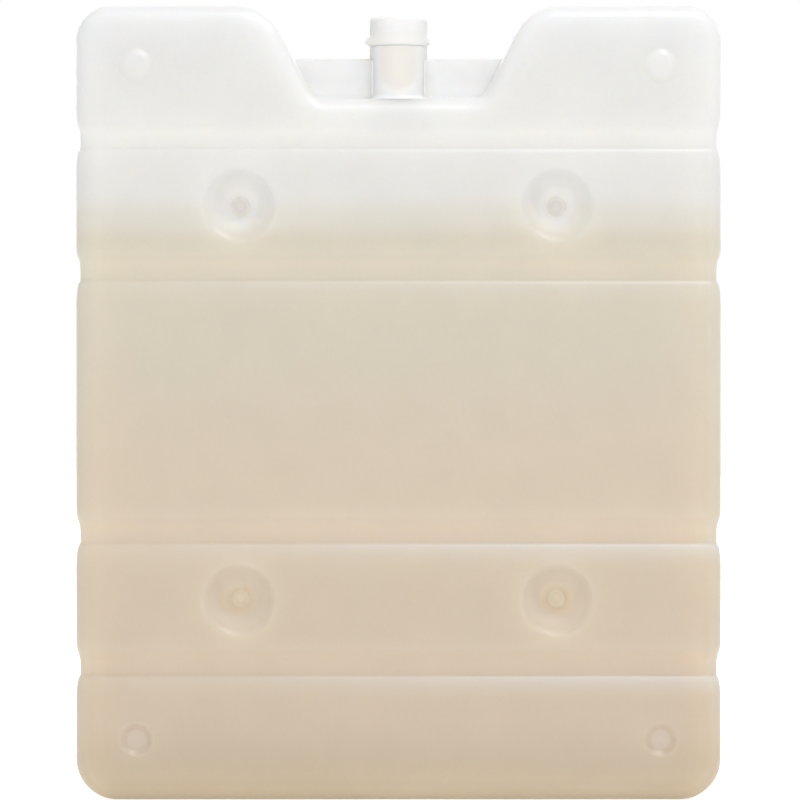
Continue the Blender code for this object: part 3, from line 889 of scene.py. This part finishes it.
def rim_painted_shade(tree, radius):
    """Painted shade: how much darker the wall is painted in a ring at a kiss-off's rim, dimming the
    highlight there.
    """
    past_dish = soft_step(tree, radius, RIM_INSIDE - RIM_FADE, RIM_INSIDE + RIM_FADE)
    short_of_panel = soft_step(tree, radius, RIM_OUTSIDE + RIM_FADE, RIM_OUTSIDE - RIM_FADE)
    return math_step(tree, "MULTIPLY", math_step(tree, "MULTIPLY", past_dish, short_of_panel), RIM_PAINTED_SHADE)


def evened_normal(tree, place, share, blend_depth):
    """The surface's direction, turned a share of the way to the front or the back of the pack.

    Light scatters so deep in thin, milky plastic that its hollows and sides look flatter than they are.
    Within the blend depth of the parting plane the turn fades out.
    """
    own = add(tree, "ShaderNodeTexCoord").outputs["Normal"]
    y = add(tree, "ShaderNodeSeparateXYZ", {0: place}).outputs["Y"]
    depth = math_step(tree, "DIVIDE", y, blend_depth)
    side = add(tree, "ShaderNodeClamp", {"Value": depth, "Min": -1.0, "Max": 1.0}).outputs[0]
    facing = add(tree, "ShaderNodeCombineXYZ", {1: side}).outputs[0]
    turned = add(tree, "ShaderNodeMix", {0: share, 4: own, 5: facing}, data_type="VECTOR").outputs[1]
    sizes = {"vector_type": "NORMAL", "convert_from": "OBJECT", "convert_to": "WORLD"}
    world = add(tree, "ShaderNodeVectorTransform", {0: turned}, **sizes).outputs[0]
    return add(tree, "ShaderNodeVectorMath", {0: world}, operation="NORMALIZE").outputs[0]


def round_share(tree, share):
    """A share that fades where a turned piece faces up or down."""
    own = add(tree, "ShaderNodeTexCoord").outputs["Normal"]
    up = math_step(tree, "ABSOLUTE", add(tree, "ShaderNodeSeparateXYZ", {0: own}).outputs["Z"])
    return math_step(tree, "MULTIPLY_ADD", up, -share, share)


def new_material(name):
    """A material, with its tree, its shader and the place on the object that its patterns follow."""
    material = bpy.data.materials.new(name)
    material.use_nodes = True
    tree = material.node_tree
    place = add(tree, "ShaderNodeTexCoord").outputs["Object"]
    return material, tree, tree.nodes["Principled BSDF"], place


def relief(tree, shader, height, strength, normal=None):
    """Gives a surface its fine relief, from heights in metres."""
    bump = add(tree, "ShaderNodeBump", {"Strength": strength, "Distance": 1.0, "Height": height})
    if normal is not None:
        tree.links.new(normal, bump.inputs["Normal"])
    tree.links.new(bump.outputs[0], shader.inputs["Normal"])


def satin_skin(tree, shader, place, roughness, extra=None, normal=None):
    """The satin of blown plastic: fine grain and slow waves in the skin, and uneven gloss."""
    gloss = wandering(tree, place, GLOSS_GRAIN, GLOSS_SPREAD, roughness)
    if extra is not None:
        gloss = math_step(tree, "ADD", gloss, extra)
    tree.links.new(gloss, shader.inputs["Roughness"])
    waves = math_step(tree, "MULTIPLY", grain(tree, place, WAVE_GRAIN, 1.0), WAVE_HEIGHT)
    skin = math_step(tree, "MULTIPLY", grain(tree, place, SKIN_GRAIN), SKIN_HEIGHT)
    relief(tree, shader, math_step(tree, "ADD", waves, skin), SKIN_RELIEF, normal)


def milky(shader, depth):
    """Lets light scatter through the plastic to about a depth in metres."""
    shader.inputs["IOR"].default_value = HDPE_IOR
    shader.inputs["Subsurface Weight"].default_value = 1.0
    shader.inputs["Subsurface Radius"].default_value = RED_GREEN_BLUE_REACH
    shader.inputs["Subsurface Scale"].default_value = depth


def kiss_off_colour(tree, colour, radius, upper):
    """The wall's colour with the painted light in the kiss-offs, against their shade, and their grey fused
    spots.
    """
    reach = KISS_OFF_PAINTED_LIGHT[-1][0]
    near = math_step(tree, "MINIMUM", math_step(tree, "DIVIDE", radius, reach), 1.0)
    painted_glow = add(tree, "ShaderNodeFloatCurve", {"Value": near})
    set_curve(painted_glow, [(r / reach, share) for r, share in KISS_OFF_PAINTED_LIGHT])
    strength = math_step(tree, "MULTIPLY_ADD", upper, 1 - LOW_PAINTED_LIGHT, LOW_PAINTED_LIGHT)
    painted_glow_colour = mixed(tree, upper, LOW_PAINTED_LIGHT_COLOUR, PAINTED_LIGHT_COLOUR)
    lit = mixed(tree, math_step(tree, "MULTIPLY", painted_glow.outputs[0], strength), colour, painted_glow_colour)
    spot = soft_step(tree, radius, SPOT_RADIUS + SPOT_FADE, SPOT_RADIUS - SPOT_FADE)
    spot_share = math_step(tree, "MULTIPLY_ADD", upper, SPOT_SHARE - LOW_SPOT_SHARE, LOW_SPOT_SHARE)
    spot_colour = mixed(tree, upper, LOW_SPOT_COLOUR, SPOT_COLOUR)
    return mixed(tree, math_step(tree, "MULTIPLY", spot, spot_share), lit, spot_colour)


def blown_hdpe():
    """Natural high-density polyethylene, blown: milky, satin, tinted by what is behind it, and with painted
    light and shade.
    """
    material, tree, shader, place = new_material("blown_natural_hdpe")
    x, _, z = add(tree, "ShaderNodeSeparateXYZ", {0: place}).outputs
    upper = math_step(tree, "GREATER_THAN", z, HEIGHT / 2)
    radius = feature_radius(tree, place, KISS_OFF_SPAN / 2, LOW_PAIR_Z)
    level = math_step(tree, "ADD", z, wandering(tree, place, LEVEL_GRAIN, LEVEL_WANDER))
    colour = colour_ramp(tree, math_step(tree, "DIVIDE", level, HEIGHT), SHELL_COLOURS)

    # Painted highlight under each groove's step, stronger towards the right
    highlight_share = math_step(tree, "MULTIPLY_ADD", upper, UPPER_HIGHLIGHT_SHARE - 1, 1.0)
    highlight_share = math_step(tree, "MULTIPLY", highlight_share, soft_step(tree, x, HIGHLIGHT_STARTS_AT, HIGHLIGHT_FULL_AT))
    step_highlight = math_step(tree, "MULTIPLY", by_groove(tree, z, GROOVE_STEP_PAINTED_HIGHLIGHT), highlight_share)
    colour = mixed(tree, step_highlight, colour, STEP_HIGHLIGHT_COLOUR)
    # Painted light in the stacking recesses, against their shade
    colour = mixed(tree, recess_painted_light(tree, place), colour, PAINTED_LIGHT_COLOUR)
    # Painted light in the kiss-offs, against their shade, and their grey fused spots
    colour = kiss_off_colour(tree, colour, radius, upper)

    mottle = wandering(tree, place, MOTTLE_GRAIN, MOTTLE)
    speckle = wandering(tree, place, SPECKLE_GRAIN, SPECKLE)
    gain = math_step(tree, "ADD", mottle, speckle)
    # Painted light at the grooves and painted shade at the pack's sides and kiss-off rims, added to the
    # random mottle and speckle
    for more in (by_groove(tree, z, GROOVE_PAINTED_LIGHT), edge_painted_shade(tree, place), rim_painted_shade(tree, radius)):
        gain = math_step(tree, "ADD", gain, more)
    tree.links.new(brighter(tree, colour, gain), shader.inputs["Base Color"])
    milky(shader, WALL_SCATTER)

    pressed = soft_step(tree, radius, DISH_EDGE, DISH_INSIDE)
    rougher = math_step(tree, "MULTIPLY", pressed, DISH_ROUGHNESS)
    flatness = math_step(tree, "MULTIPLY", pressed, DISH_FLATNESS)
    normal = evened_normal(tree, place, flatness, DISH_BLEND)
    satin_skin(tree, shader, place, BLOWN_ROUGHNESS, rougher, normal)
    return material


def pinched_hdpe():
    """The same plastic squeezed to a thin web, with no coolant behind it: painted lighter at its foot,
    against the shade by the notch floor, and greyer towards its top.
    """
    material, tree, shader, place = new_material("pinched_natural_hdpe")
    z = add(tree, "ShaderNodeSeparateXYZ", {0: place}).outputs["Z"]
    share = math_step(tree, "DIVIDE", math_step(tree, "SUBTRACT", z, NOTCH_FLOOR_Z), WEB_HEIGHT)
    colour = colour_ramp(tree, share, WEB_TONES_AND_PAINTED_LIGHT)
    mottle = wandering(tree, place, WEB_MOTTLE_GRAIN, WEB_MOTTLE)
    tree.links.new(brighter(tree, colour, mottle), shader.inputs["Base Color"])
    milky(shader, SOLID_SCATTER)
    normal = evened_normal(tree, place, WEB_FLATNESS, WEB_BLEND)
    satin_skin(tree, shader, place, PRESSED_ROUGHNESS, normal=normal)
    return material


def neck_hdpe():
    """The neck's wall: white, with the hollow shank of the plug showing through it as a creamier tube."""
    material, tree, shader, place = new_material("neck_natural_hdpe")
    x, _, z = add(tree, "ShaderNodeSeparateXYZ", {0: place}).outputs
    under = math_step(tree, "MINIMUM", math_step(tree, "SUBTRACT", z, SHANK_TIP_Z + SHANK_RADIUS), 0.0)
    tube = soft_step(tree, distance(tree, x, under), SHANK_RADIUS + TUBE_FADE, SHANK_RADIUS - TUBE_FADE)
    white = colour_ramp(tree, grain(tree, place, NECK_GRAIN), CLOUDED_WHITE)
    colour = mixed(tree, math_step(tree, "MULTIPLY", tube, TUBE_SHARE), white, TUBE_COLOUR)
    tree.links.new(colour, shader.inputs["Base Color"])
    milky(shader, SOLID_SCATTER)
    normal = evened_normal(tree, place, round_share(tree, NECK_FLATNESS), TURNED_BLEND)
    satin_skin(tree, shader, place, PRESSED_ROUGHNESS, normal=normal)
    return material


def moulded_hdpe():
    """Injection-moulded HDPE for the plug: white, and creamier where it melted at its bead."""
    material, tree, shader, place = new_material("moulded_natural_hdpe")
    z = add(tree, "ShaderNodeSeparateXYZ", {0: place}).outputs["Z"]
    melted_top_z = NECK_TOP_Z + COLLAR_HEIGHT
    melted = soft_step(tree, z, melted_top_z + MELTED_FADE, melted_top_z)
    white = colour_ramp(tree, grain(tree, place, PLUG_GRAIN), CLOUDED_WHITE)
    colour = mixed(tree, math_step(tree, "MULTIPLY", melted, MELTED_SHARE), white, MELTED_COLOUR)
    tree.links.new(colour, shader.inputs["Base Color"])
    milky(shader, SOLID_SCATTER)
    normal = evened_normal(tree, place, round_share(tree, PLUG_FLATNESS), TURNED_BLEND)
    satin_skin(tree, shader, place, PRESSED_ROUGHNESS, normal=normal)
    return material


def cloudy_coolant():
    """The cream coolant inside: cloudy, wet, and browner towards the base, where it settles."""
    material, tree, shader, place = new_material("cloudy_coolant")
    z = add(tree, "ShaderNodeSeparateXYZ", {0: place}).outputs["Z"]
    colour = colour_ramp(tree, math_step(tree, "DIVIDE", z, HEIGHT), COOLANT_COLOURS)
    cloud = wandering(tree, place, CLOUD_GRAIN, CLOUD, detail=CLOUD_DETAIL)
    tree.links.new(brighter(tree, colour, cloud), shader.inputs["Base Color"])
    milky(shader, COOLANT_SCATTER)
    gloss = wandering(tree, place, WETNESS_GRAIN, WETNESS_SPREAD, WET_ROUGHNESS)
    tree.links.new(gloss, shader.inputs["Roughness"])
    ripple = math_step(tree, "MULTIPLY", grain(tree, place, RIPPLE_GRAIN, 1.0), RIPPLE_HEIGHT)
    relief(tree, shader, ripple, RIPPLE_RELIEF)
    return material


def build_pack():
    """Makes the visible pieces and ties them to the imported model."""
    shell = blown_shell(blown_hdpe())
    web = pinched_web(pinched_hdpe())
    neck = filler_neck(neck_hdpe())
    head = closure_plug(moulded_hdpe())
    for piece in (shell, web, neck, head):
        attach(piece, "root")
    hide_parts("shell")
    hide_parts("filler_plug")
    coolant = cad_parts["coolant"]
    coolant.data.materials.clear()
    coolant.data.materials.append(cloudy_coolant())


# Studio
FLOOR_REACH = 6
FLOOR_COLOURS = ((0.3, "#E7E7E7"), (0.7, "#E9E9E9"))
FLOOR_GRAIN = 0.15
FLOOR_ROUGHNESS, FLOOR_ROUGHNESS_SPREAD, FLOOR_ROUGHNESS_GRAIN = 0.90, 0.08, 0.05
WEAVE_HEIGHT, WEAVE_GRAIN, WEAVE_RELIEF = 0.0001, 0.0015, 0.3
FLOOR_LIFT = 0.26
FLOOR_LIFT_SEEN = 0.45  # added for the eye and for reflections
SURROUND_LIGHT = 0.58
LAMP_TARGET = (0, 0, 0.13)
# Area lamps: (name, place, size, watts, whether it shows in reflections)
LAMPS = (
    ("key", (-0.60, -1.00, 0.75), (0.6, 0.6), 1.0, False),
    ("strip", (0.32, -0.46, 1.15), (0.8, 0.12), 5.2, True),
    ("fill", (0.25, -1.5, 0.10), (1.0, 0.3), 1.5, False),
    ("back", (0, 1.3, 0.35), (1.2, 0.8), 6.4, True),
)
FRAME_WIDTH = 0.25189  # what the picture spans at the front rim of the pack
EYE_DISTANCE = 1.4
EYE = Vector((0.00047, -EYE_DISTANCE, 0.1258))
RIM_PLANE = 0.0105
SENSOR = 36


def seen_share(tree):
    """1 for what the eye sees, itself or in gloss or through glass, and 0 for what lights the pack."""
    path = add(tree, "ShaderNodeLightPath").outputs
    seen = math_step(tree, "MAXIMUM", path["Is Camera Ray"], path["Is Glossy Ray"])
    return math_step(tree, "MAXIMUM", seen, path["Is Transmission Ray"])


def white_ground():
    """A white floor that shows the pack's shadow, in a white surround."""
    material, tree, shader, place = new_material("white_sweep")
    cloth = colour_ramp(tree, grain(tree, place, FLOOR_GRAIN), FLOOR_COLOURS)
    tree.links.new(cloth, shader.inputs["Base Color"])
    dull = wandering(tree, place, FLOOR_ROUGHNESS_GRAIN, FLOOR_ROUGHNESS_SPREAD, FLOOR_ROUGHNESS)
    tree.links.new(dull, shader.inputs["Roughness"])
    weave = math_step(tree, "MULTIPLY", grain(tree, place, WEAVE_GRAIN), WEAVE_HEIGHT)
    relief(tree, shader, weave, WEAVE_RELIEF)
    lift = math_step(tree, "MULTIPLY_ADD", seen_share(tree), FLOOR_LIFT_SEEN, FLOOR_LIFT)
    shader.inputs["Emission Color"].default_value = (1, 1, 1, 1)
    tree.links.new(lift, shader.inputs["Emission Strength"])
    shape = bmesh.new()
    bmesh.ops.create_grid(shape, x_segments=1, y_segments=1, size=FLOOR_REACH)
    mesh = bpy.data.meshes.new("floor")
    shape.to_mesh(mesh)
    shape.free()
    floor = new_object("floor", mesh, material)


def surround(strength):
    """A white world to the eye and in reflections, that lights the pack at its own strength."""
    world = bpy.data.worlds.new("studio")
    bpy.context.scene.world = world
    world.use_nodes = True
    tree = world.node_tree
    tree.nodes.clear()
    level = math_step(tree, "MULTIPLY_ADD", seen_share(tree), 1 - strength, strength)
    light = add(tree, "ShaderNodeBackground", {"Color": (1, 1, 1, 1), "Strength": level})
    add(tree, "ShaderNodeOutputWorld", {0: light.outputs[0]})


def soft_box(name, place, size, power, mirrored):
    """An area lamp that faces the pack, out of the camera's sight and, if need be, out of reflections."""
    lamp = bpy.data.lights.new(name, "AREA")
    lamp.shape = "RECTANGLE"
    lamp.size, lamp.size_y = size
    lamp.energy = power
    thing = bpy.data.objects.new(name, lamp)
    bpy.context.scene.collection.objects.link(thing)
    thing.location = place
    thing.rotation_euler = (Vector(LAMP_TARGET) - Vector(place)).to_track_quat("-Z", "Y").to_euler()
    thing.visible_camera = False
    thing.visible_glossy = mirrored


def make_camera():
    """A long lens, square on to the front at half the pack's height."""
    data = bpy.data.cameras.new("camera")
    data.sensor_width = SENSOR
    data.lens = SENSOR * (EYE_DISTANCE - RIM_PLANE) / FRAME_WIDTH
    camera = bpy.data.objects.new("camera", data)
    bpy.context.scene.collection.objects.link(camera)
    camera.location = EYE
    camera.rotation_euler = (pi / 2, 0, 0)
    bpy.context.scene.camera = camera


build_pack()
white_ground()
surround(SURROUND_LIGHT)
for lamp_values in LAMPS:
    soft_box(*lamp_values)
make_camera()
bpy.context.scene.view_settings.view_transform = "Standard"
